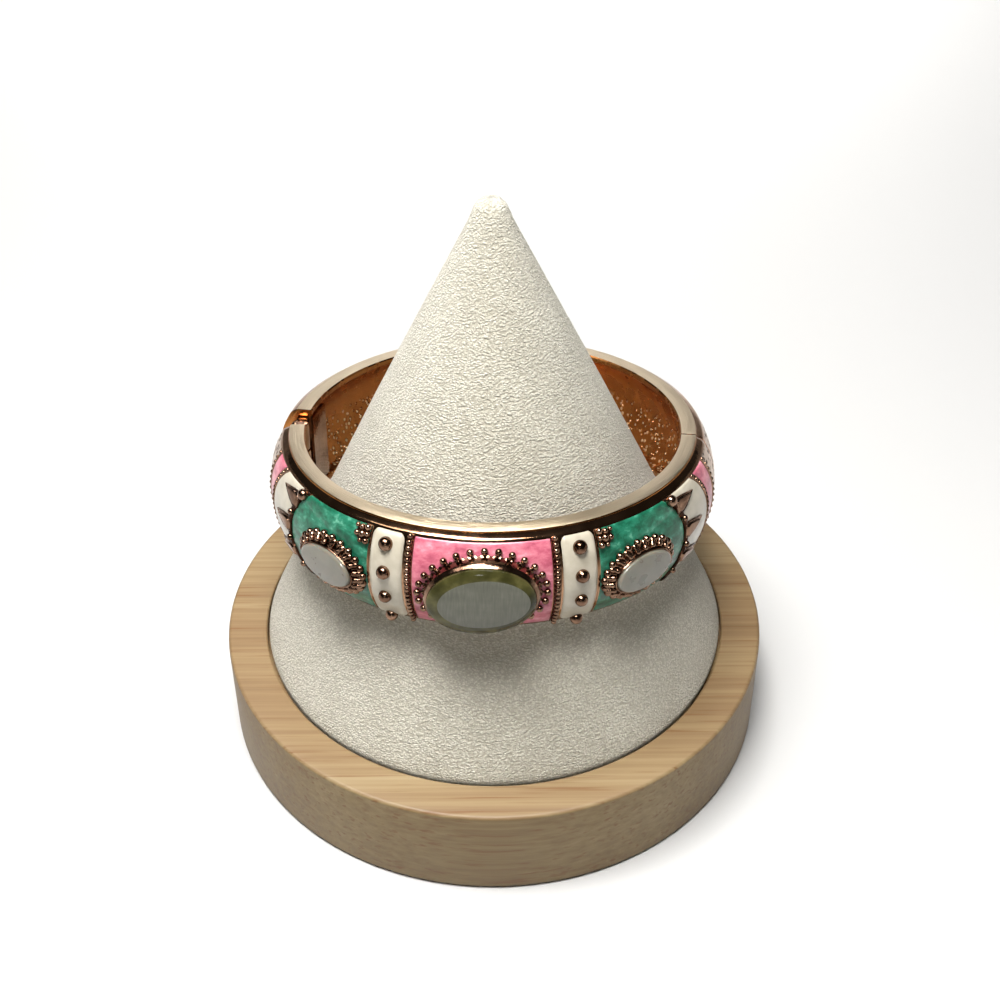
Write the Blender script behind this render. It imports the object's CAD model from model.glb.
"""The looks of the hinged bangle and its display cone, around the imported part."""
import math

import bpy
from mathutils import Matrix, Vector


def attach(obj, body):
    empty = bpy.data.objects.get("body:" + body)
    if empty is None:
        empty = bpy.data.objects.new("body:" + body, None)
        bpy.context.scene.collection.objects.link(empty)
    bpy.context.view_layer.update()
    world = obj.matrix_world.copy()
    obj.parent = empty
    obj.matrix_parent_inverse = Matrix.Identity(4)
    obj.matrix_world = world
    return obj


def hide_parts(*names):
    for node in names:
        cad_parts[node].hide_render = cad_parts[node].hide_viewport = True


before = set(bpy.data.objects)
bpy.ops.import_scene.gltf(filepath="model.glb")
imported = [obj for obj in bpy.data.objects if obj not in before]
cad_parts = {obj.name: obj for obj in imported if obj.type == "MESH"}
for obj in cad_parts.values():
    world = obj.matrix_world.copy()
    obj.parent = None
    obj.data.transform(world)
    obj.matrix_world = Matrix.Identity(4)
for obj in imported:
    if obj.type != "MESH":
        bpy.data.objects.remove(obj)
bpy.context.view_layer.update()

# Sizes in millimetres and azimuths in degrees, as in the part's source
INSIDE_R = 29.6
RIM_R = 32.1
BEVEL_R = 33.2
BEVEL_Z = 7.4
HALF_H = 8.2
DOME_R = 35.4
SAG = DOME_R - BEVEL_R
ARC_R = (BEVEL_Z ** 2 + SAG ** 2) / (2 * SAG)
ARC_C = DOME_R - ARC_R
PANEL_Z = 7.2
PANEL_T = 0.5
WALL_T = 1.7
RIM_T = 1.1
HINGE_AZ = -92.7
HINGE_R = 31.0
BARREL_R = 1.4
BORE_R = 0.69
PIN_R = 0.65
PIN_END = 7.1
CLASP_AZ = 85.5
TONGUE_R = 31.9
HINGE_CUT = 4.75
CLASP_CUT = 0.27
FRONT_FROM = HINGE_AZ + HINGE_CUT
FRONT_TO = CLASP_AZ - CLASP_CUT
BACK_FROM = CLASP_AZ + CLASP_CUT
BACK_TO = 360 + HINGE_AZ - HINGE_CUT
BASE_R = 45.0
BASE_H = 16.7
SEAT_FLOOR = 14.7
CONE_R = 38.3
CONE_FOOT = 14.8
CONE_TOP = 96.5
APEX = 101.0
SLOPE = CONE_R / (APEX - BASE_H)
TILT = math.radians(9.0)
TURN = math.radians(-2.8)
SEAT_R = INSIDE_R - 0.2
SEAT_Y = SLOPE * SEAT_R * math.sin(TILT)
SEAT_Z = APEX - SEAT_R * math.cos(TILT) / SLOPE
DRAWN_FORWARD = 0.16

# The band leans round the cone, drawn forward so that its back rests there
ON_CONE = (
    Matrix.Translation((0, SEAT_Y, SEAT_Z))
    @ Matrix.Rotation(-TILT, 4, "X")
    @ Matrix.Translation((0, -DRAWN_FORWARD, HALF_H))
    @ Matrix.Rotation(TURN, 4, "Z")
)
TO_METRES = Matrix.Scale(0.001, 4)
SMOOTH_BELOW = math.radians(38)

# Azimuths of the enamel's straight edges and of the rows of beads and balls,
# the middles that the round edges are drawn about, and the white corners
PINK_TO = 16.95
BEADS_AZ = 17.75
WHITE_FROM = 19.1
BALLS_AZ = 23.6
WHITE_TO = 28.0
WHITE_CORNER = 1.1
GREEN_FROM = 28.45
GREEN_AZ = 43
CROWN_AZ = 57.5

# The stones: height on the band, and slant in degrees
CENTRE_Z = -0.5
CENTRE_ROLL = 5.8
SIDE_AZ = 39.7
SIDE_Z = -0.6
SIDE_ROLL = 5.0


# Shaping


def clear():
    """Leaves edit mode and deselects everything."""
    if bpy.context.object and bpy.context.object.mode != "OBJECT":
        bpy.ops.object.mode_set(mode="OBJECT")
    bpy.ops.object.select_all(action="DESELECT")


def pick(*pieces):
    """Selects these pieces alone, with the first of them in hand."""
    clear()
    for piece in pieces:
        piece.select_set(True)
    bpy.context.view_layer.objects.active = pieces[0]


def named(name):
    """The piece in hand, out of edit mode, under its own name."""
    if bpy.context.object.mode != "OBJECT":
        bpy.ops.object.mode_set(mode="OBJECT")
    piece = bpy.context.object
    piece.name = piece.data.name = name
    return piece


def tidy_mesh():
    """Closes seams and poles and turns the faces outwards, in edit mode."""
    bpy.ops.mesh.select_all(action="SELECT")
    bpy.ops.mesh.remove_doubles(threshold=0.0005)
    bpy.ops.mesh.normals_make_consistent(inside=False)


def draw(points):
    """Draws a line in edit mode, each point extruded from the one before."""
    clear()
    bpy.ops.mesh.primitive_plane_add(size=1)
    bpy.ops.object.mode_set(mode="EDIT")
    bpy.ops.mesh.select_mode(type="VERT")
    bpy.ops.mesh.select_all(action="SELECT")
    bpy.ops.mesh.merge(type="CENTER")
    bpy.ops.transform.translate(value=points[0])
    for here, there in zip(points, points[1:]):
        step = Vector(there) - Vector(here)
        bpy.ops.mesh.extrude_vertices_move(TRANSFORM_OT_translate={"value": step})
    bpy.ops.mesh.select_all(action="SELECT")


def turned(name, profile, steps):
    """A piece turned on a lathe from a profile of radius and height."""
    draw([(r, 0, z) for r, z in profile])
    bpy.ops.mesh.spin(steps=steps, angle=math.tau, center=(0, 0, 0), axis=(0, 0, 1))
    tidy_mesh()
    return named(name)


def swept(name, section, start, end, step=1.25):
    """A closed section of radius and height, spun round the bangle's axis."""
    away = math.radians(start)
    draw([(r * math.sin(away), -r * math.cos(away), z) for r, z in section])
    bpy.ops.mesh.edge_face_add()
    count = max(1, round((end - start) / step))
    bpy.ops.mesh.spin(steps=count, angle=math.radians(start - end), center=(0, 0, 0), axis=(0, 0, 1))
    tidy_mesh()
    return named(name)


def stacked(name, levels, count, teeth=0.0):
    """An oval outline raised level by level: half width, half height, rise.
    A cup's levels turn down again inside its lip, and end in its floor.
    With teeth, two points in four stand out from the outline."""
    a, b, z = levels[0]
    points = []
    for i in range(count):
        turn = math.tau * i / count
        out = teeth if i % 4 in (1, 2) else 0.0
        points.append(((a + out) * math.cos(turn), (b + out) * math.sin(turn), z))
    draw(points)
    bpy.ops.mesh.edge_face_add()
    for (a0, b0, z0), (a1, b1, z1) in zip(levels, levels[1:]):
        bpy.ops.mesh.extrude_region_move(TRANSFORM_OT_translate={"value": (0, 0, z1 - z0)})
        bpy.ops.transform.resize(value=(a1 / a0, b1 / b0, 1), center_override=(0, 0, z1))
    tidy_mesh()
    return named(name)


def block(name, middle, size, ease, segments):
    """A box with eased edges."""
    clear()
    bpy.ops.mesh.primitive_cube_add(size=1, location=middle, scale=size)
    bpy.ops.object.mode_set(mode="EDIT")
    bpy.ops.mesh.select_all(action="SELECT")
    bpy.ops.mesh.bevel(offset=ease, segments=segments, affect="EDGES")
    box = named(name)
    bpy.ops.object.transform_apply(location=True, rotation=True, scale=True)
    return box


def joined(name, pieces):
    pick(*pieces)
    bpy.ops.object.join()
    return named(name)


def copied(source, place):
    """A copy of one shape, with its own mesh, at its place."""
    piece = source.copy()
    piece.data = source.data.copy()
    piece.data.transform(place)
    bpy.context.collection.objects.link(piece)
    return piece


def copies(name, source, places):
    """Copies of one shape, joined into one piece."""
    return joined(name, [copied(source, place) for place in places])


def drop(*pieces):
    for piece in pieces:
        bpy.data.objects.remove(piece)


def worked_in(piece, modifier):
    """The piece with its modifier applied."""
    pick(piece)
    bpy.ops.object.modifier_apply(modifier=modifier.name)
    return piece


def bevelled(piece, width, angle):
    bevel = piece.modifiers.new("soft edges", "BEVEL")
    bevel.width = width
    bevel.segments = 2
    bevel.limit_method = "ANGLE"
    bevel.angle_limit = math.radians(angle)
    return worked_in(piece, bevel)


def thickened(piece, depth):
    wall = piece.modifiers.new("thickness", "SOLIDIFY")
    wall.thickness = depth
    wall.offset = -1
    return worked_in(piece, wall)


def evenly(reach, parts):
    """Even steps from reach down to its opposite."""
    return [reach - 2 * reach * i / parts for i in range(parts + 1)]


# The bangle's wall


def wall_r(z):
    """Radius of the domed wall at a height."""
    return ARC_C + math.sqrt(ARC_R ** 2 - z * z)


def up_arc(height):
    """Length up the dome's arc to a height above the middle of the band."""
    return ARC_R * math.asin(height / ARC_R)


def along(azimuth):
    """Length along the band, at its widest, to an azimuth."""
    return math.radians(azimuth) * DOME_R


def wall_point(x, y, out):
    """Where a flat point lands: x along the band, y up the arc, out from it."""
    az, lean = x / DOME_R, y / ARC_R
    r = ARC_C + (ARC_R + out) * math.cos(lean)
    return Vector((r * math.sin(az), -r * math.cos(az), (ARC_R + out) * math.sin(lean)))


def laid(piece, azimuth, height):
    """Curves a piece that was modelled flat on to the wall."""
    x0, y0 = along(azimuth), up_arc(height)
    for v in piece.data.vertices:
        v.co = wall_point(x0 + v.co.x, y0 + v.co.y, v.co.z)
    return piece


def square_on(azimuth, height, roll):
    """Stands a flat piece square on the wall: x along, y up, z outwards."""
    return (
        Matrix.Rotation(math.radians(azimuth), 4, "Z")
        @ Matrix.Translation((0, 0, height))
        @ Matrix.Rotation(math.pi / 2, 4, "X")
        @ Matrix.Rotation(math.radians(roll), 4, "Z")
    )


def leaning_on(azimuth, height, lift):
    """The same, leaning with the wall, and lifted off it."""
    lean = math.asin(height / ARC_R)
    return (
        Matrix.Rotation(math.radians(azimuth), 4, "Z")
        @ Matrix.Translation((0, -ARC_C, 0))
        @ Matrix.Rotation(-lean, 4, "X")
        @ Matrix.Translation((0, -ARC_R - lift, 0))
        @ Matrix.Rotation(math.pi / 2, 4, "X")
    )


def measured(piece, start):
    """Marks each vertex with its place along, up and out of the band, in mm.
    Places along the band are counted on from the azimuth of start."""
    marks = piece.data.attributes.new("band_place", "FLOAT_VECTOR", "POINT")
    flat = []
    for v in piece.data.vertices:
        az = math.degrees(math.atan2(v.co.x, -v.co.y))
        az = (az - start) % 360 + start
        flat += [along(az), v.co.z, math.hypot(v.co.x, v.co.y)]
    marks.data.foreach_set("vector", flat)


def placed(piece, body, finishes, on_cone=True, stands_for=(), start=-180.0):
    """Puts a finished piece where it belongs, in metres, on its body."""
    if on_cone:
        measured(piece, start)
    piece.data.transform(TO_METRES @ (ON_CONE if on_cone else Matrix()))
    pick(piece)
    bpy.ops.object.shade_smooth_by_angle(angle=SMOOTH_BELOW)
    for surface in finishes:
        piece.data.materials.append(surface)
    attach(piece, body)
    if stands_for:
        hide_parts(*stands_for)


# Finishes

# A colour Mix node's sockets: how much, its two colours, and its result
AMOUNT, FIRST, SECOND, RESULT = 0, 6, 7, 2


def paint(code):
    """A sRGB hex colour as linear red, green, blue and alpha."""
    parts = [int(code[i : i + 2], 16) / 255 for i in (1, 3, 5)]
    return [c / 12.92 if c <= 0.04045 else ((c + 0.055) / 1.055) ** 2.4 for c in parts] + [1.0]


def feed(tree, node, sockets):
    """Puts into each socket a value, an output, or a node's first output."""
    for socket, value in sockets.items():
        if isinstance(value, bpy.types.Node):
            value = value.outputs[0]
        if isinstance(value, bpy.types.NodeSocket):
            tree.links.new(value, node.inputs[socket])
        else:
            node.inputs[socket].default_value = value


def part_of(tree, kind, sockets=None, stops=(), **settings):
    """Adds one node with its settings, its ramp's stops and its links."""
    made = tree.nodes.new("ShaderNode" + kind)
    for key, value in settings.items():
        setattr(made, key, value)
    if stops:
        bar = made.color_ramp.elements
        bar.remove(bar[-1])
        bar[0].position = stops[0][0]
        bar[0].color = paint(stops[0][1])
        for position, colour in stops[1:]:
            bar.new(position).color = paint(colour)
    feed(tree, made, sockets or {})
    return made


def finish(name, values):
    """A material with one shader and the values that are the same all over."""
    made = bpy.data.materials.new(name)
    made.use_nodes = True
    tree = made.node_tree
    tree.nodes.clear()
    shader = part_of(tree, "BsdfPrincipled", values)
    part_of(tree, "OutputMaterial", {"Surface": shader})
    return made, tree, shader


def band_place(tree, scale=(1, 1, 1)):
    """Place on the band in mm, so a pattern's scale is in grains per mm."""
    marks = part_of(tree, "Attribute", attribute_name="band_place").outputs["Vector"]
    return part_of(tree, "Mapping", {"Vector": marks, "Scale": scale})


def object_place(tree, scale):
    """Place on the object in metres, so a scale is in grains per metre."""
    place = part_of(tree, "TexCoord").outputs["Object"]
    return part_of(tree, "Mapping", {"Vector": place, "Scale": scale})


def rose_gold(name, tones, rough, grain, depth):
    """Polished plating: faint waviness and haze break up the reflections."""
    made, tree, shader = finish(name, {"Metallic": 1.0})
    where = band_place(tree)
    cloud = part_of(tree, "TexNoise", {"Vector": where, "Scale": 0.35, "Detail": 4.0})
    colour = part_of(tree, "ValToRGB", {"Fac": cloud}, [(0.3, tones[0]), (0.7, tones[1])])
    haze = part_of(tree, "MapRange", {"Value": cloud, "To Min": rough[0], "To Max": rough[1]})
    ripple = part_of(tree, "TexNoise", {"Vector": where, "Scale": grain, "Detail": 3.0})
    bump = part_of(tree, "Bump", {"Height": ripple, "Strength": depth, "Distance": 0.0001})
    feed(tree, shader, {"Base Color": colour, "Roughness": haze, "Normal": bump})
    return made


def pitted_metal():
    """Cast rose gold stippled all over: pits over half a millimetre wide
    hold dark tarnish, and the skin between them stays satin bright."""
    made, tree, shader = finish("cast rose gold, stippled and darkened", {"Metallic": 1.0})
    where = band_place(tree)
    cells = part_of(tree, "TexVoronoi", {"Vector": where, "Scale": 0.95, "Randomness": 0.75})
    pit = part_of(
        tree,
        "MapRange",
        {"Value": cells, "From Min": 0.18, "From Max": 0.42},
        interpolation_type="SMOOTHSTEP",
    )
    cloud = part_of(tree, "TexNoise", {"Vector": where, "Scale": 0.5, "Detail": 5.0})
    skin = part_of(tree, "ValToRGB", {"Fac": cloud}, [(0.3, "#B29A8A"), (0.7, "#D3BEAC")])
    mix = part_of(tree, "Mix", {AMOUNT: pit, FIRST: paint("#3A2A22"), SECOND: skin}, data_type="RGBA")
    rough = part_of(tree, "MapRange", {"Value": pit, "To Min": 0.6, "To Max": 0.28})
    bump = part_of(tree, "Bump", {"Height": pit, "Strength": 0.9, "Distance": 0.0003})
    colour = mix.outputs[RESULT]
    feed(tree, shader, {"Base Color": colour, "Roughness": rough, "Normal": bump})
    return made


def specked_plate():
    """The back half's inside: the outer stipple shows through low down as
    bright raised specks about half a millimetre wide."""
    made, tree, shader = finish("copper-rich plate, specked inside", {"Metallic": 1.0})
    where = band_place(tree)
    height = part_of(tree, "SeparateXYZ", {"Vector": where}).outputs["Y"]
    low = part_of(tree, "MapRange", {"Value": height, "From Min": 0.5, "From Max": -2.5})
    cells = part_of(tree, "TexVoronoi", {"Vector": where, "Scale": 1.1})
    dot = part_of(
        tree,
        "MapRange",
        {"Value": cells, "From Min": 0.42, "From Max": 0.22},
        interpolation_type="SMOOTHSTEP",
    )
    speck = part_of(tree, "Math", {0: dot, 1: low}, operation="MULTIPLY")
    cloud = part_of(tree, "TexNoise", {"Vector": where, "Scale": 0.35, "Detail": 4.0})
    tint = part_of(tree, "ValToRGB", {"Fac": cloud}, [(0.3, "#A26838"), (0.7, "#B87C45")])
    mix = part_of(tree, "Mix", {AMOUNT: speck, FIRST: tint, SECOND: paint("#FFE6BC")}, data_type="RGBA")
    rough = part_of(tree, "MapRange", {"Value": cloud, "To Min": 0.2, "To Max": 0.34})
    bump = part_of(tree, "Bump", {"Height": speck, "Strength": 1.0, "Distance": 0.0004})
    colour = mix.outputs[RESULT]
    feed(tree, shader, {"Base Color": colour, "Roughness": rough, "Normal": bump})
    return made


def rim_metal():
    """Rose gold rubbed matte by hand: hair-fine scratches a centimetre long
    run round the rim and draw its highlight out."""
    made, tree, shader = finish("rose gold, rubbed matte", {"Metallic": 1.0})
    where = band_place(tree, (0.06, 8, 8))
    hair = part_of(tree, "TexNoise", {"Vector": where, "Scale": 1.6, "Detail": 4.0})
    colour = part_of(tree, "ValToRGB", {"Fac": hair}, [(0.3, "#C2AF92"), (0.7, "#D4C3A8")])
    rough = part_of(tree, "MapRange", {"Value": hair, "To Min": 0.28, "To Max": 0.42})
    bump = part_of(tree, "Bump", {"Height": hair, "Strength": 0.8, "Distance": 0.0001})
    feed(tree, shader, {"Base Color": colour, "Roughness": rough, "Normal": bump})
    return made


def pearly_enamel(name, stops, drift):
    """Enamel over foil: milky drifts and paler veins under a clear glassy
    coat, with the foil's fine sparkle in its gloss."""
    made, tree, shader = finish(
        name, {"Coat Weight": 0.45, "Coat Roughness": 0.06, "Specular IOR Level": 0.25}
    )
    where = band_place(tree, drift)
    warp = part_of(tree, "TexNoise", {"Vector": where, "Scale": 0.5, "Detail": 2.0})
    bent = part_of(tree, "VectorMath", {0: where, 1: warp.outputs["Color"]}, operation="ADD")
    cloud = part_of(tree, "TexNoise", {"Vector": bent, "Scale": 0.8, "Detail": 6.0, "Roughness": 0.62})
    tint = part_of(tree, "ValToRGB", {"Fac": cloud}, stops)
    crackle = part_of(
        tree,
        "TexNoise",
        {"Vector": bent, "Scale": 0.42, "Detail": 3.0},
        noise_type="RIDGED_MULTIFRACTAL",
    )
    vein = part_of(
        tree, "MapRange", {"Value": crackle, "From Min": 0.75, "From Max": 1.25, "To Max": 0.55}
    )
    palest = paint(stops[-1][1])
    mix = part_of(tree, "Mix", {AMOUNT: vein, FIRST: tint, SECOND: palest}, data_type="RGBA")
    sparkle = part_of(tree, "TexNoise", {"Vector": where, "Scale": 6.0, "Detail": 2.0})
    rough = part_of(tree, "MapRange", {"Value": sparkle, "To Min": 0.2, "To Max": 0.5})
    bump = part_of(tree, "Bump", {"Height": warp, "Strength": 0.12, "Distance": 0.0002})
    colour = mix.outputs[RESULT]
    feed(tree, shader, {"Base Color": colour, "Roughness": rough, "Coat Normal": bump})
    return made


def white_enamel_finish():
    """Thick opaque white: warm, glossy, and a little uneven as it was fired."""
    made, tree, shader = finish(
        "white enamel, fired thick and glossy",
        {"Coat Weight": 0.5, "Coat Roughness": 0.05, "Roughness": 0.35},
    )
    where = band_place(tree)
    cloud = part_of(tree, "TexNoise", {"Vector": where, "Scale": 0.4, "Detail": 4.0})
    colour = part_of(tree, "ValToRGB", {"Fac": cloud}, [(0.25, "#9C9482"), (0.75, "#B7AF9E")])
    bump = part_of(tree, "Bump", {"Height": cloud, "Strength": 0.2, "Distance": 0.0003})
    feed(tree, shader, {"Base Color": colour, "Coat Normal": bump})
    return made


def cat_eye_table():
    """Polished chatoyant stone: upright fibres a quarter of a millimetre
    wide, in grey-green, give a soft silky face."""
    made, tree, shader = finish(
        "cat's-eye stone, flat polished", {"Coat Weight": 0.6, "Coat Roughness": 0.12}
    )
    upright_grain = band_place(tree, (3.5, 0.35, 0.35))
    fibre = part_of(tree, "TexNoise", {"Vector": upright_grain, "Scale": 1.2, "Detail": 5.0})
    level_drift = band_place(tree, (0.2, 0.9, 0.2))
    cloud = part_of(tree, "TexNoise", {"Vector": level_drift, "Scale": 0.5, "Detail": 3.0})
    both = part_of(tree, "Math", {0: fibre, 1: cloud}, operation="ADD")
    half = part_of(tree, "Math", {0: both, 1: 0.5}, operation="MULTIPLY")
    greys = [(0.35, "#3F3F33"), (0.5, "#4B4B3E"), (0.68, "#5B5B4E")]
    colour = part_of(tree, "ValToRGB", {"Fac": half}, greys)
    rough = part_of(tree, "MapRange", {"Value": fibre, "To Min": 0.3, "To Max": 0.5})
    feed(tree, shader, {"Base Color": colour, "Roughness": rough})
    return made


def cat_eye_edge():
    """The same stone's clear edge: bottle-olive glass, darker in its depth."""
    made, tree, shader = finish(
        "cat's-eye stone, clear olive edge",
        {"Roughness": 0.08, "IOR": 1.45, "Specular IOR Level": 0.35},
    )
    where = band_place(tree)
    cloud = part_of(tree, "TexNoise", {"Vector": where, "Scale": 0.35, "Detail": 4.0})
    olives = [(0.3, "#25240F"), (0.5, "#39371C"), (0.7, "#55512F")]
    feed(tree, shader, {"Base Color": part_of(tree, "ValToRGB", {"Fac": cloud}, olives)})
    return made


def pale_stone_finish():
    """Milky pale stone, cut flat, with soft cloud inside it."""
    made, tree, shader = finish(
        "pale milky stone, polished",
        {
            "Coat Weight": 0.7,
            "Coat Roughness": 0.1,
            "Subsurface Weight": 0.2,
            "Subsurface Scale": 0.001,
        },
    )
    where = band_place(tree)
    cloud = part_of(tree, "TexNoise", {"Vector": where, "Scale": 0.45, "Detail": 5.0})
    colour = part_of(tree, "ValToRGB", {"Fac": cloud}, [(0.3, "#646155"), (0.7, "#716D61")])
    rough = part_of(tree, "MapRange", {"Value": cloud, "To Min": 0.2, "To Max": 0.4})
    feed(tree, shader, {"Base Color": colour, "Roughness": rough})
    return made


def suede():
    """Embossed suede cloth: grains under half a millimetre wide lie in
    slanting rows and catch the light, over a short nap and slow handling
    marks."""
    made, tree, shader = finish(
        "embossed suede cloth, grey-beige",
        {"Sheen Weight": 0.25, "Sheen Roughness": 0.4, "Specular IOR Level": 0.25},
    )
    marks = part_of(tree, "Attribute", attribute_name="unrolled").outputs["Vector"]
    slanted = part_of(
        tree, "Mapping", {"Vector": marks, "Rotation": (0, 0, 0.7), "Scale": (1.0, 1.45, 1.0)}
    )
    wander = part_of(tree, "TexNoise", {"Vector": slanted, "Scale": 0.6, "Detail": 2.0})
    moved = part_of(tree, "VectorMath", {0: slanted, 1: wander.outputs["Color"]}, operation="ADD")
    grain = part_of(
        tree,
        "TexVoronoi",
        {"Vector": moved, "Scale": 2.1, "Smoothness": 0.5, "Randomness": 0.8},
        feature="SMOOTH_F1",
    )
    nap = part_of(tree, "TexNoise", {"Vector": marks, "Scale": 4.5, "Detail": 3.0, "Roughness": 0.6})
    height = part_of(tree, "Math", {0: grain, 1: -0.8, 2: nap}, operation="MULTIPLY_ADD")
    slow = part_of(tree, "TexNoise", {"Vector": marks, "Scale": 0.12, "Detail": 4.0})
    shade = part_of(tree, "Math", {0: slow, 1: 0.35, 2: height}, operation="MULTIPLY_ADD")
    beiges = [(0.2, "#B4AE9D"), (0.48, "#D1CCBC"), (0.75, "#E2DED0")]
    colour = part_of(tree, "ValToRGB", {"Fac": shade}, beiges)
    rough = part_of(tree, "MapRange", {"Value": nap, "To Min": 0.75, "To Max": 0.95})
    bump = part_of(tree, "Bump", {"Height": height, "Strength": 1.0, "Distance": 0.0005})
    feed(tree, shader, {"Base Color": colour, "Roughness": rough, "Normal": bump})
    return made


def bamboo(name, tones):
    """Pressed bamboo, sanded and lacquered satin: straight pale fibres a
    millimetre wide run left to right, with a few thin brown ones."""
    made, tree, shader = finish(name, {"Coat Weight": 0.12, "Coat Roughness": 0.35})
    fine = object_place(tree, (12, 1100, 1100))
    fibres = part_of(tree, "TexNoise", {"Vector": fine, "Scale": 1.0, "Detail": 5.0, "Roughness": 0.6})
    broad = object_place(tree, (2, 90, 45))
    slats = part_of(tree, "TexNoise", {"Vector": broad, "Scale": 1.0, "Detail": 2.0})
    both = part_of(tree, "Math", {0: slats, 1: 0.7, 2: fibres}, operation="MULTIPLY_ADD")
    half = part_of(tree, "Math", {0: both, 1: 0.58}, operation="MULTIPLY")
    pale = part_of(tree, "ValToRGB", {"Fac": half}, list(zip((0.3, 0.44, 0.56, 0.72), tones)))
    thin = object_place(tree, (50, 1500, 1500))
    flecks = part_of(tree, "TexNoise", {"Vector": thin, "Scale": 1.0, "Detail": 2.0})
    dark = part_of(tree, "MapRange", {"Value": flecks, "From Min": 0.28, "From Max": 0.43})
    mix = part_of(tree, "Mix", {AMOUNT: dark, FIRST: paint("#6A4824"), SECOND: pale}, data_type="RGBA")
    rough = part_of(tree, "MapRange", {"Value": fibres, "To Min": 0.5, "To Max": 0.7})
    bump = part_of(tree, "Bump", {"Height": half, "Strength": 0.3, "Distance": 0.0002})
    colour = mix.outputs[RESULT]
    feed(tree, shader, {"Base Color": colour, "Roughness": rough, "Normal": bump})
    return made


# Bevels and hinge: bright, with slightly hazy reflections
polished = rose_gold("rose gold plate, polished", ("#8E6A50", "#B08A6C"), (0.08, 0.16), 1.6, 0.12)

# Cast relief: brown in patches, so that small highlights stand out
relief_gold = rose_gold(
    "rose gold relief, cast and polished", ("#5C4233", "#9A7B66"), (0.11, 0.2), 2.4, 0.25
)

# Inside, away from wear: warm orange copper with a slight haze
inner_copper = rose_gold(
    "copper-rich plate, glossy inside", ("#AA6D3C", "#BF8148"), (0.2, 0.3), 0.4, 0.25
)

# Pin and spring: plain and dull
dark_metal = rose_gold("rose gold steel, dulled", ("#6E5142", "#8C6A55"), (0.25, 0.4), 2.0, 0.3)

# Where no cloth reaches: brown-black, it outlines the relief
tarnished = rose_gold(
    "rose gold, tarnished in the grooves", ("#2A1A13", "#4A3226"), (0.3, 0.5), 2.0, 0.4
)
specked_inside = specked_plate()
matte_rim = rim_metal()
stippled = pitted_metal()
pink = pearly_enamel(
    "pink enamel over foil, pearly",
    [(0.3, "#8F3D51"), (0.45, "#AE5869"), (0.58, "#C1727F"), (0.75, "#DAA0A8")],
    (0.5, 0.9, 1.0),
)
green = pearly_enamel(
    "green enamel over foil, pearly",
    [(0.3, "#0B3A2A"), (0.45, "#13523B"), (0.58, "#206B52"), (0.72, "#5A967D")],
    (0.7, 0.9, 1.0),
)
white = white_enamel_finish()
olive = cat_eye_edge()
grey_green = cat_eye_table()
milky = pale_stone_finish()
suede_cloth = suede()
bamboo_top = bamboo("pressed bamboo, satin lacquer", ("#644E30", "#745B3B", "#7F6947", "#8C7A59"))
bamboo_side = bamboo("pressed bamboo, sawn across", ("#5F4929", "#6F5834", "#7A6641", "#877552"))


# The stand


def make_base():
    """The bamboo base: eased edges, and the seat that the cone stands in."""
    ease = 0.6
    flat_r = BASE_R - ease
    bend = [math.radians(15 * i) for i in range(7)]
    low = [(flat_r + ease * math.sin(t), ease - ease * math.cos(t)) for t in bend]
    high = [(flat_r + ease * math.cos(t), BASE_H - ease + ease * math.sin(t)) for t in bend]
    top = [(42.0, BASE_H), (40.0, BASE_H)]
    seat = [(38.75, BASE_H), (38.5, BASE_H - 0.2), (38.45, SEAT_FLOOR), (0, SEAT_FLOOR)]
    base = turned("bamboo_base", [(0, 0), (30, 0)] + low + high + top + seat, 144)
    for face in base.data.polygons:
        out = math.hypot(face.center.x, face.center.y)
        face.material_index = int(out > flat_r and face.normal.z < 0.6)
    finishes = [bamboo_top, bamboo_side]
    placed(base, "stand_and_back", finishes, False, ["base"])


def make_cone():
    """The suede cone: drawn in a little near its tip, and rolled in at its
    foot as the cloth is turned under."""
    half = math.atan(SLOPE)
    tip_r = 2.7
    tip_z = CONE_TOP - tip_r
    steps = [math.radians(t) for t in range(84, 24, -6)] + [half]
    tip = [(0, tip_z + tip_r)]
    tip += [(tip_r * math.cos(t), tip_z + tip_r * math.sin(t)) for t in steps]
    top_z, low_z = tip[-1][1], 18.3
    neck_from, neck_rise, neck_depth = 55.0, 40.0, 0.55
    count = 30
    side = []
    for i in range(1, count + 1):
        z = top_z + (low_z - top_z) * i / count
        draw_in = min(max((z - neck_from) / neck_rise, 0.0), 1.0)
        side.append(((APEX - z) * SLOPE - neck_depth * draw_in ** 1.5, z))
    roll = [(37.85, 17.6), (38.05, 17.1), (38.12, 16.6), (38.05, 16.1), (37.8, CONE_FOOT)]
    cone = turned("suede_cone", tip + side + roll + [(0, CONE_FOOT)], 144)
    # Each corner's place on the cloth, unrolled flat, in mm
    marks = cone.data.attributes.new("unrolled", "FLOAT_VECTOR", "CORNER")
    flat = []
    for face in cone.data.polygons:
        middle = math.atan2(face.center.x, -face.center.y)
        for index in face.vertices:
            spot = cone.data.vertices[index].co
            reach = (APEX - spot.z) / math.cos(half)
            off = math.atan2(spot.x, -spot.y) - middle
            off = (off + math.pi) % math.tau - math.pi
            turn = (middle + off) * math.sin(half)
            flat += [reach * math.sin(turn), -reach * math.cos(turn), 0.0]
    marks.data.foreach_set("vector", flat)
    placed(cone, "stand_and_back", [suede_cloth], False, ["cone"])


# The two halves of the band


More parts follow.
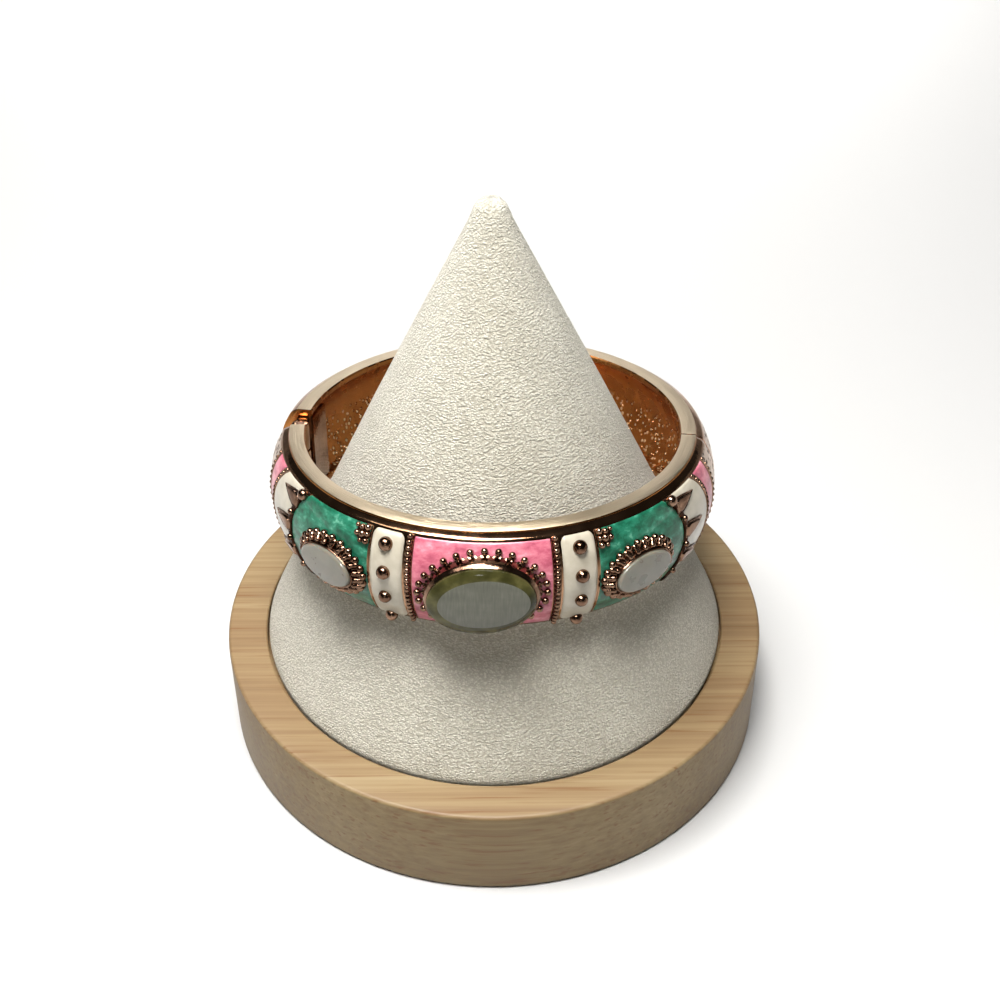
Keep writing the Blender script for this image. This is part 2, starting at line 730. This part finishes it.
def shell_section():
    """The C-shaped section: rims, bevels, dome outside and hollow inside."""
    dome = evenly(math.asin(BEVEL_Z / ARC_R), 22)
    outer = [(ARC_C + ARC_R * math.cos(t), ARC_R * math.sin(t)) for t in dome]
    inner_r = ARC_R - WALL_T
    hollow = evenly(-math.asin((HALF_H - RIM_T) / inner_r), 14)
    inner = [(ARC_C + inner_r * math.cos(t), inner_r * math.sin(t)) for t in hollow]
    rim = [
        (INSIDE_R + 0.2, HALF_H),
        (RIM_R - 0.12, HALF_H),
        (RIM_R, HALF_H - 0.08),
        (RIM_R + 0.12, HALF_H - 0.32),
        (BEVEL_R - 0.45, BEVEL_Z + 0.27),
        (BEVEL_R - 0.15, BEVEL_Z + 0.1),
    ]
    lip = [(INSIDE_R, HALF_H - 0.2), (INSIDE_R, HALF_H - RIM_T + 0.2)]
    step = [(INSIDE_R + 0.2, HALF_H - RIM_T), (INSIDE_R + 2.2, HALF_H - RIM_T)]
    low_edge = [(r, -z) for r, z in rim[::-1] + lip + step]
    return rim + outer + low_edge + inner + step[::-1] + lip[::-1]


def shell(name, start, end):
    """The wall of one half, swept round, with its sharp edges softened."""
    return bevelled(swept(name, shell_section(), start, end), 0.12, 60)


def finish_faces(piece, stippled_dome=False):
    """Picks each face's metal by where it lies on the band: plate, matte
    rim, inside or stipple, in the order that the halves list them."""
    plate, rim, inside, stipple = range(4)
    for face in piece.data.polygons:
        r, z = math.hypot(face.center.x, face.center.y), abs(face.center.z)
        if z > HALF_H - 0.05 and r < RIM_R + 0.02:
            face.material_index = rim
        elif r < wall_r(min(z, 8.0)) - 0.6:
            face.material_index = inside
        elif stippled_dome and z < BEVEL_Z - 0.4:
            face.material_index = stipple
        else:
            face.material_index = plate


def end_cap(name, start, end):
    """A plate that closes the hollow of a half at its end."""
    inner_r = ARC_R - WALL_T / 2
    turns = evenly(math.asin((HALF_H - RIM_T / 2) / inner_r), 12)
    curve = [(ARC_C + inner_r * math.cos(t), inner_r * math.sin(t)) for t in turns]
    back = [(INSIDE_R + 0.3, -7.65), (INSIDE_R + 0.3, 7.65)]
    return swept(name, curve + back, start, end, 1.0)


def at_hinge(piece):
    """Moves a piece that was made upright at the middle on to the hinge."""
    turn = Matrix.Rotation(math.radians(HINGE_AZ), 4, "Z")
    piece.data.transform(turn @ Matrix.Translation((0, -HINGE_R, 0)))
    return piece


def knuckle(low, high):
    """One knuckle of the hinge, turned, with softened ends."""
    ease = 0.25
    soft = ease * 0.3
    profile = [
        (BORE_R, low),
        (BARREL_R - ease, low),
        (BARREL_R - soft, low + soft),
        (BARREL_R, low + ease),
        (BARREL_R, high - ease),
        (BARREL_R - soft, high - soft),
        (BARREL_R - ease, high),
        (BORE_R, high),
        (BORE_R, low),
    ]
    return at_hinge(turned("knuckle", profile, 28))


def web(low, high, way):
    """The strap that ties a knuckle to its half."""
    length, width, out = 2.7, 1.8, 1.95
    middle = (way * out, 0, (low + high) / 2)
    return at_hinge(block("web", middle, (length, width, high - low), 0.22, 2))


def make_back():
    """The back half: stippled outside, with two knuckles, a leaf and the pin."""
    wall = shell("back_band", BACK_FROM, BACK_TO)
    finish_faces(wall, True)
    finishes = [polished, matte_rim, specked_inside, stippled]
    placed(wall, "stand_and_back", finishes, stands_for=["back_half"], start=0.0)
    out_r, edge = 30.4, 6.5
    leaf = [(INSIDE_R, -6.3), (INSIDE_R, 6.3), (29.7, edge), (out_r, edge), (out_r, -edge), (29.7, -edge)]
    pieces = [
        end_cap("clasp_plate", BACK_FROM + 0.2, BACK_FROM + 2.0),
        end_cap("hinge_plate", BACK_TO - 2.0, BACK_TO - 0.2),
        swept("leaf_plate", leaf, BACK_TO - 11, BACK_TO - 0.4, 1.0),
    ]
    for low, high in ((2.5, PIN_END), (-PIN_END, -2.5)):
        pieces += [knuckle(low, high), web(low, high, -1)]
    fittings = joined("back_fittings", pieces)
    placed(fittings, "stand_and_back", [polished], start=0.0)
    end = [(0.5, PIN_END), (PIN_R, PIN_END - 0.15)]
    foot = [(0, -PIN_END)] + [(r, -z) for r, z in end]
    pin = at_hinge(turned("hinge_rod", foot + end[::-1] + [(0, PIN_END)], 24))
    placed(pin, "stand_and_back", [dark_metal], stands_for=["hinge_pin"])


def make_front():
    """The front half: smooth outside, with the middle knuckle and the clasp."""
    wall = shell("front_shell", FRONT_FROM, FRONT_TO)
    finish_faces(wall)
    finishes = [polished, matte_rim, inner_copper, stippled]
    placed(wall, "front", finishes, stands_for=["front_half"])
    pieces = [
        end_cap("clasp_wall", FRONT_TO - 2.0, FRONT_TO - 0.2),
        end_cap("hinge_wall", FRONT_FROM + 0.2, FRONT_FROM + 2.0),
        knuckle(-2.2, 2.2),
        web(-2.2, 2.2, 1),
    ]
    placed(joined("front_fittings", pieces), "front", [polished])
    tongue = block("clasp_spring", (1.0, 0, 0), (7.2, 1.2, 5.0), 0.3, 3)
    turn = Matrix.Rotation(math.radians(CLASP_AZ), 4, "Z")
    tongue.data.transform(turn @ Matrix.Translation((0, -TONGUE_R, 0)))
    placed(tongue, "front", [dark_metal], stands_for=["clasp_tongue"])


def relief(piece, dark_below, stands_for=()):
    """Puts cast relief on the front half: polished, and tarnished where it
    lies low on the wall and no polishing reaches."""
    for face in piece.data.polygons:
        spot = face.center
        out = math.hypot(math.hypot(spot.x, spot.y) - ARC_C, spot.z) - ARC_R
        face.material_index = int(out < dark_below)
    placed(piece, "front", [relief_gold, tarnished], stands_for=stands_for)


# Enamel


def panel(name, left, right, rise, border, sink=0.25, across=44, up=48):
    """A patch of the wall between two edges, heaped up in its middle and
    eased off over its border. An edge gives its azimuth at a height."""
    clear()
    bpy.ops.mesh.primitive_grid_add(x_subdivisions=across, y_subdivisions=up, size=2)
    patch = named(name)
    for v in patch.data.vertices:
        s = math.sin(v.co.x * math.pi / 2)
        t = math.sin(v.co.y * math.pi / 2)
        height = t * PANEL_Z
        a, b = left(height), right(height)
        az = a + (b - a) * (s + 1) / 2
        width = math.radians(b - a) * wall_r(height)
        near = min((1 - abs(s)) * width / 2, (1 - abs(t)) * PANEL_Z)
        ease = min(1.0, near / border)
        out = -sink + (sink + rise) * math.sqrt(1 - (1 - ease) ** 2)
        v.co = wall_point(along(az), up_arc(height), out)
    return thickened(patch, PANEL_T)


def enamel(name, left, right, finish_used, slot, node, rise, border):
    patch = panel(name, left, right, rise, border)
    placed(patch, "front", [finish_used], stands_for=[node])


def soft_corner(height, radius):
    """How far an edge draws in, in degrees, where its corner is rounded."""
    over = abs(height) - (PANEL_Z - radius)
    if over <= 0:
        return 0.0
    reach = min(over, radius)
    return math.degrees((radius - math.sqrt(radius ** 2 - reach ** 2)) / DOME_R)


def upright(azimuth):
    """A straight edge, at one azimuth from bottom to top."""
    return lambda height: azimuth


def arc_edge(centre, radius):
    """The azimuth of a round edge drawn about a point on the wall."""

    def edge(height):
        across = math.sqrt(max(radius ** 2 - height ** 2, 0.0))
        return centre + math.degrees(math.asin(across / wall_r(height)))

    return edge


def on_side(side, left, right):
    """A cell's two edges as they are on the right side, or mirrored."""
    if side > 0:
        return left, right
    return lambda height: -right(height), lambda height: -left(height)


def make_enamel():
    """All the enamel. A row gives a cell's name, its two edges on the right
    side, its finish, slot and node, how far it heaps up, and its border."""
    whole = (upright(-PINK_TO), upright(PINK_TO))
    enamel("pink_panel", *whole, pink, "pink_enamel", "centre_enamel", 0.1, 0.5)
    band = (
        lambda height: WHITE_FROM + soft_corner(height, WHITE_CORNER),
        lambda height: WHITE_TO - soft_corner(height, WHITE_CORNER),
    )
    field = (upright(GREEN_FROM), arc_edge(GREEN_AZ, 8.55))
    crown = (arc_edge(GREEN_AZ, 9.2), arc_edge(CROWN_AZ, 8.3))
    end = (arc_edge(CROWN_AZ, 9.05), arc_edge(CROWN_AZ, 12.4))
    cells = (
        ("white_band", band, white, "white_enamel", "white_enamel", 0.42, 1.1),
        ("green_panel", field, green, "green_enamel", "green_enamel", 0.12, 0.5),
        ("crown_panel", crown, white, "white_enamel", "crown_enamel", 0.16, 0.5),
        ("end_panel", end, pink, "pink_enamel", "end_enamel", 0.1, 0.5),
    )
    for name, edges, finish_used, slot, node, rise, border in cells:
        for side, word in ((1, "_right"), (-1, "_left")):
            pair = on_side(side, *edges)
            enamel(name + word, *pair, finish_used, slot, node + word, rise, border)


# Relief


def ball_profile(radius, foot):
    """The profile of a ball that spreads a little into what it stands on."""
    turns = [math.radians(-50 + 10 * i) for i in range(15)]
    bulge = [(radius * math.cos(t), radius * math.sin(t)) for t in turns]
    bulge[-1] = (0, radius)
    return [(radius * 0.9, bulge[0][1] - foot)] + bulge


def make_balls():
    """Four balls on each white band, the lower ones a little smaller."""
    ball = turned("ball", ball_profile(1.1, 0.5), 28)
    top, apart = 5.4, 4.1
    places = []
    for side in (-1, 1):
        for i, size in enumerate((1.0, 0.97, 0.92, 0.88)):
            lean = leaning_on(side * BALLS_AZ, top - apart * i, 0.5)
            places.append(lean @ Matrix.Scale(size, 4))
    balls = copies("band_balls", ball, places)
    drop(ball)
    relief(balls, 0.2)


def make_grains():
    """The nuggets in the green panels' upper corners, on their dark beds."""
    grain = turned("grain", ball_profile(0.6, 0.25), 14)
    first_az, bed_az, bed_z = 28.6, 30.6, 5.8
    # How far in from the panel's edge, height and size of each nugget
    upper = ((0.4, 6.75, 0.9), (1.35, 6.6, 0.75), (2.2, 6.7, 0.6))
    middle = ((0.35, 5.85, 0.7), (1.15, 5.75, 1.0), (2.1, 5.7, 0.8))
    lower = ((0.45, 4.9, 0.85), (1.4, 4.85, 0.65))
    places = []
    beds = []
    for side in (-1, 1):
        for across, height, size in upper + middle + lower:
            az = first_az + math.degrees(across / wall_r(height))
            spot = leaning_on(side * az, height, 0.34)
            places.append(spot @ Matrix.Scale(size, 4))
        bed = stacked("bed", [(1.25, 1.3, -0.2), (1.25, 1.3, 0.12), (1.1, 1.15, 0.2)], 28)
        beds.append(laid(bed, side * bed_az, bed_z))
    grains = copies("corner_grains", grain, places)
    drop(grain)
    relief(grains, 0.35)
    placed(joined("grain_beds", beds), "front", [tarnished])


def make_beading():
    """Beaded lines beside the pink panel and round the end panels."""
    bead = turned("bead", ball_profile(0.44, 0.12), 12)
    reach = 6.9
    places = []
    for side in (-1, 1):
        for height in evenly(7.0, 18):
            places.append(leaning_on(side * BEADS_AZ, height, 0.3))
        for radius, pitch in ((8.66, 0.8), (12.85, 0.95)):
            edge = arc_edge(CROWN_AZ, radius)
            for height in evenly(reach, int(2 * reach / pitch)):
                spot = leaning_on(side * edge(height), height, 0.0)
                places.append(spot @ Matrix.Scale(0.8, 4))
    beads = copies("beading", bead, places)
    drop(bead)
    relief(beads, 0.12)


def strips(name, rows, finish_used):
    """Narrow strips on both sides of the band, joined into one piece. A row
    gives the two edges, the rise, the border and the sink."""
    made = []
    for left, right, rise, border, sink in rows:
        for side in (-1, 1):
            edges = on_side(side, left, right)
            made.append(panel("strip", *edges, rise, border, sink, 8, 40))
    placed(joined(name, made), "front", [finish_used])


def make_ridges():
    """The metal between one enamel and the next, and the stippled ends."""
    ridges = (
        (upright(16.75), upright(17.05), 0.22, 0.2, 0.25),
        (upright(28.1), upright(28.42), 0.12, 0.2, 0.25),
        (arc_edge(CROWN_AZ, 8.25), arc_edge(CROWN_AZ, 8.5), 0.2, 0.15, 0.25),
        (arc_edge(CROWN_AZ, 8.85), arc_edge(CROWN_AZ, 9.08), 0.2, 0.15, 0.25),
        (arc_edge(CROWN_AZ, 12.35), arc_edge(CROWN_AZ, 12.65), 0.2, 0.15, 0.25),
    )
    strips("cell_ridges", ridges, relief_gold)
    crescent = (arc_edge(GREEN_AZ, 8.6), arc_edge(GREEN_AZ, 9.35), 0.42, 0.32, 0.25)
    strips("crown_roots", [crescent], tarnished)
    groove = (upright(17.0), upright(18.95), 0.06, 0.3, 0.2)
    strips("beaded_grooves", [groove], tarnished)
    ends = []
    for side, last in ((-1, FRONT_FROM), (1, FRONT_TO)):
        edges = on_side(side, arc_edge(CROWN_AZ, 13.1), upright(abs(last) - 0.5))
        ends.append(panel("end", *edges, 0.06, 0.3, 0.2, 20, 40))
    placed(joined("stippled_ends", ends), "front", [stippled])


def make_leaves():
    """The crowns: pointed leaves with raised rims and sunken middles."""
    half = [(-0.4, 1.0), (0.7, 1.3), (2.2, 1.0), (3.8, 0.5)]
    outline = [(x, -y, 0) for x, y in half] + [(5.3, 0, 0)]
    outline += [(x, y, 0) for x, y in reversed(half)]
    draw(outline)
    bpy.ops.mesh.edge_face_add()
    bpy.ops.mesh.extrude_region_move(TRANSFORM_OT_translate={"value": (0, 0, 0.75)})
    for width, depth in ((0.18, 0.16), (0.12, -0.04), (0.14, -0.36)):
        bpy.ops.mesh.inset(thickness=width, depth=depth)
    tidy_mesh()
    leaf = bevelled(named("leaf"), 0.06, 30)
    stud = turned("stud", ball_profile(0.7, 0.3), 18)
    leaf_r, stud_r = 8.85, 8.9
    sunk = Matrix.Translation((0, 0, -0.3))
    crowns = []
    for side in (-1, 1):
        for height in (5.2, 0.8, -3.6):
            slant = Matrix.Rotation(math.radians(height * 1.2), 4, "Z")
            piece = copied(leaf, slant @ sunk)
            if side < 0:
                piece.data.transform(Matrix.Scale(-1, 4, (1, 0, 0)))
                piece.data.flip_normals()
            root = arc_edge(GREEN_AZ, leaf_r)(height)
            crowns.append(laid(piece, side * root, height))
        for height in (6.5, 3.1, -1.4, -5.6):
            size = 1.35 if height > 6 else 0.75
            spot = leaning_on(side * arc_edge(GREEN_AZ, stud_r)(height), height, 0.35)
            crowns.append(copied(stud, spot @ Matrix.Scale(size, 4)))
    drop(leaf, stud)
    relief(joined("crown_leaves", crowns), 0.15)


# Stones and settings


def set_round(name, source, oval, lift, dip=None, offset=0.5):
    """Copies of a piece set round a slanting oval on the wall. They stand
    up, or lie with a dip and point at the oval's middle."""
    count, a, b, az0, z0, roll = oval
    c, s = math.cos(math.radians(roll)), math.sin(math.radians(roll))
    places = []
    for i in range(count):
        turn = math.tau * (i + offset) / count
        along_a, along_b = a * math.cos(turn), b * math.sin(turn)
        x, y = along_a * c - along_b * s, along_a * s + along_b * c
        place = leaning_on(az0 + math.degrees(x / DOME_R), z0 + y, lift)
        if dip is not None:
            lay_down = Matrix.Rotation(math.atan2(-y, -x), 4, "Z")
            lay_down @= Matrix.Rotation(math.pi / 2 - dip, 4, "Y")
            place = place @ lay_down
        places.append(place)
    return copies(name, source, places)


def centre_drum():
    """The polished wall that holds the centre stone, and its toothed foot."""
    wall = [(8.4, 5.9, 33.4), (8.45, 5.95, 36.2), (8.42, 5.92, 36.32)]
    lip = [(8.02, 5.52, 36.86), (7.96, 5.48, 36.9), (7.92, 5.44, 36.86), (7.9, 5.43, 36.0)]
    drum = stacked("drum", wall + lip, 96)
    drum.data.transform(square_on(0, CENTRE_Z, CENTRE_ROLL))
    foot = stacked(
        "toothed_foot",
        [(8.42, 5.92, -0.15), (8.42, 5.92, 0.35), (8.35, 5.85, 0.45), (7.9, 5.4, 0.6)],
        224,
        0.3,
    )
    foot.data.transform(Matrix.Rotation(math.radians(CENTRE_ROLL), 4, "Z"))
    return [drum, laid(foot, 0, CENTRE_Z)]


def make_centre():
    """The centre stone and its mount: granules on stems round the drum."""
    ball = turned("granule", ball_profile(0.54, 0.15), 16)
    stem = turned("stem", [(0, 0), (0.15, 0), (0.2, 0.5), (0.24, 1.0), (0, 1.05)], 10)
    halo = (28, 9.45, 6.6, 0, CENTRE_Z - 0.1, CENTRE_ROLL)
    pieces = centre_drum() + [
        set_round("granules", ball, halo, 0.4),
        set_round("stems", stem, halo, 0.12, 0.0),
    ]
    drop(ball, stem)
    relief(joined("centre_mount", pieces), 0.3, ["centre_setting"])
    sides = [(7.8, 5.3, 35.9), (7.9, 5.42, 37.1), (7.88, 5.4, 37.32), (7.7, 5.22, 37.5)]
    top = [(7.3, 4.76, 37.74), (6.88, 4.22, 37.95), (6.66, 3.96, 38.03), (6.54, 3.84, 38.05)]
    stone = stacked("cat_eye", sides + top, 96)
    for face in stone.data.polygons:
        face.material_index = int(face.normal.z > 0.6 and face.center.z > 38.0)
    # The grey face lies a little to the right within the olive edge
    aside = 0.4
    for v in stone.data.vertices:
        v.co.x += aside * min(max((v.co.z - 37.5) / 0.5, 0.0), 1.0)
    stone.data.transform(square_on(0, CENTRE_Z, CENTRE_ROLL))
    finishes = [olive, grey_green]
    placed(stone, "front", finishes, stands_for=["centre_stone"])


def side_mount(side, word):
    """A side stone's mount: a cup, two rings of claws and a ring of beads."""
    az0, roll = SIDE_AZ * side, SIDE_ROLL * side
    wall = [(5.3, 3.1, 33.8), (5.35, 3.15, 36.2), (5.4, 3.2, 36.5)]
    lip = [(5.3, 3.1, 36.65), (5.12, 2.92, 36.6), (5.05, 2.86, 35.6)]
    cup = stacked("cup", wall + lip, 72)
    cup.data.transform(square_on(az0, SIDE_Z, roll))
    bead = turned("outer_bead", ball_profile(0.6, 0.3), 16)
    shank = [(0, -0.1), (0.3, 0.0), (0.44, 0.25), (0.4, 0.6), (0.34, 0.85)]
    tip = [(0.46, 1.15), (0.44, 1.38), (0.27, 1.56), (0, 1.62)]
    claw = turned("claw", shank + tip, 12)
    outer = (22, 6.35, 4.2, az0, SIDE_Z, roll)
    inner = (22, 6.45, 4.3, az0, SIDE_Z, roll)
    pieces = [
        cup,
        set_round("beads", bead, outer, 0.4),
        set_round("claws", claw, inner, 0.5, 0.5, 0.0),
        set_round("roots", claw, outer, 0.35, 0.25),
    ]
    drop(bead, claw)
    relief(joined("side_mount_" + word, pieces), 0.45, ["side_setting_" + word])


def make_sides():
    """The two side stones in their mounts, mirrored."""
    for side, word in ((-1, "left"), (1, "right")):
        side_mount(side, word)
        sides = [(4.98, 2.78, 35.4), (5.04, 2.84, 36.75), (4.98, 2.8, 36.92)]
        top = [(4.8, 2.62, 37.05), (4.6, 2.42, 37.1)]
        stone = stacked("pale_gem_" + word, sides + top, 72)
        stone.data.transform(square_on(SIDE_AZ * side, SIDE_Z, SIDE_ROLL * side))
        placed(stone, "front", [milky], stands_for=["side_stone_" + word])


make_base()
make_cone()
make_back()
make_front()
make_enamel()
make_balls()
make_grains()
make_beading()
make_ridges()
make_leaves()
make_centre()
make_sides()


# Floor, light and camera


def make_floor():
    """A pale matte dish that faces up, a hair under the base, and curves up
    into a backdrop far out."""
    made, tree, shader = finish("pale matte floor", {"Roughness": 0.85})
    where = object_place(tree, (1, 1, 1))
    cloud = part_of(tree, "TexNoise", {"Vector": where, "Scale": 3.0})
    colour = part_of(tree, "ValToRGB", {"Fac": cloud}, [(0.3, "#B7B6B4"), (0.7, "#BBBAB8")])
    feed(tree, shader, {"Base Color": colour})
    cove = [(0, 0), (1200, 0), (2300, 0), (2400, 30), (2450, 110), (2470, 700)]
    floor = turned("floor", cove, 96)
    floor.data.transform(TO_METRES @ Matrix.Translation((0, 0, -0.2)))
    floor.data.flip_normals()
    bpy.ops.object.shade_smooth_by_angle(angle=math.radians(60))
    floor.data.materials.append(made)


def make_light(name, size, place, aim, watts, spread):
    """One area lamp, turned towards its aim."""
    data = bpy.data.lights.new(name, "AREA")
    data.shape = "RECTANGLE"
    data.size, data.size_y = size
    data.energy = watts
    data.spread = math.radians(spread)
    light = bpy.data.objects.new(name, data)
    light.location = place
    direction = Vector(aim) - Vector(place)
    light.rotation_euler = direction.to_track_quat("-Z", "Y").to_euler()
    bpy.context.collection.objects.link(light)


def make_camera():
    """Stands where the photo's outlines of cone, base and band put it."""
    sensor = 36
    lens_by_sensor = 1.65507
    place = (0, -0.20469, 0.21225)
    right = Vector((0.99996, -0.00836, -0.00363))
    up = Vector((0.00815, 0.64087, 0.76761))
    ahead = Vector((0.00409, 0.76761, -0.64091))
    data = bpy.data.cameras.new("camera")
    data.sensor_width = sensor
    data.lens = sensor * lens_by_sensor
    camera = bpy.data.objects.new("camera", data)
    turn = Matrix((right, up, -ahead)).transposed().to_4x4()
    camera.matrix_world = Matrix.Translation(place) @ turn
    bpy.context.collection.objects.link(camera)
    bpy.context.scene.camera = camera


make_floor()
make_camera()
MIDDLE = (0, 0, 0.04)
# Each lamp's name, size, place and aim in metres, watts and spread in degrees
LAMPS = (
    ("softbox over the front", (0.28, 0.3), (-0.06, -0.26, 0.88), MIDDLE, 3.3, 180),
    ("near lamp", (0.24, 0.14), (-0.05, -0.06, 0.42), (0, 0, 0.05), 3.5, 180),
    ("front lamp", (0.07, 0.07), (-0.16, -0.8, 0.5), MIDDLE, 0.2, 180),
    ("left window", (0.3, 0.3), (-0.4, 0.0, 0.8), MIDDLE, 1.4, 180),
    ("back strip", (0.3, 0.15), (-0.05, 0.75, 0.38), MIDDLE, 0.8, 180),
    ("floor light", (0.6, 0.6), (0, 1.7, 1.2), (0, 1.7, 0), 31.0, 92),
    ("floor light", (0.6, 0.6), (1.7, 0, 1.2), (1.7, 0, 0), 31.0, 92),
    ("floor light", (0.6, 0.6), (0, -1.7, 1.2), (0, -1.7, 0), 31.0, 92),
    ("floor light", (0.6, 0.6), (-1.7, 0, 1.2), (-1.7, 0, 0), 31.0, 92),
    ("lamp behind", (0.2, 0.2), (0, 0.42, 0.45), (0, 0.42, 0), 0.9, 70),
)
for lamp in LAMPS:
    make_light(*lamp)
world = bpy.data.worlds.new("dim studio")
bpy.context.scene.world = world
world.use_nodes = True
sky = world.node_tree.nodes["Background"]
feed(world.node_tree, sky, {"Color": paint("#CFCBC4"), "Strength": 0.05})
bpy.context.scene.view_settings.view_transform = "Standard"
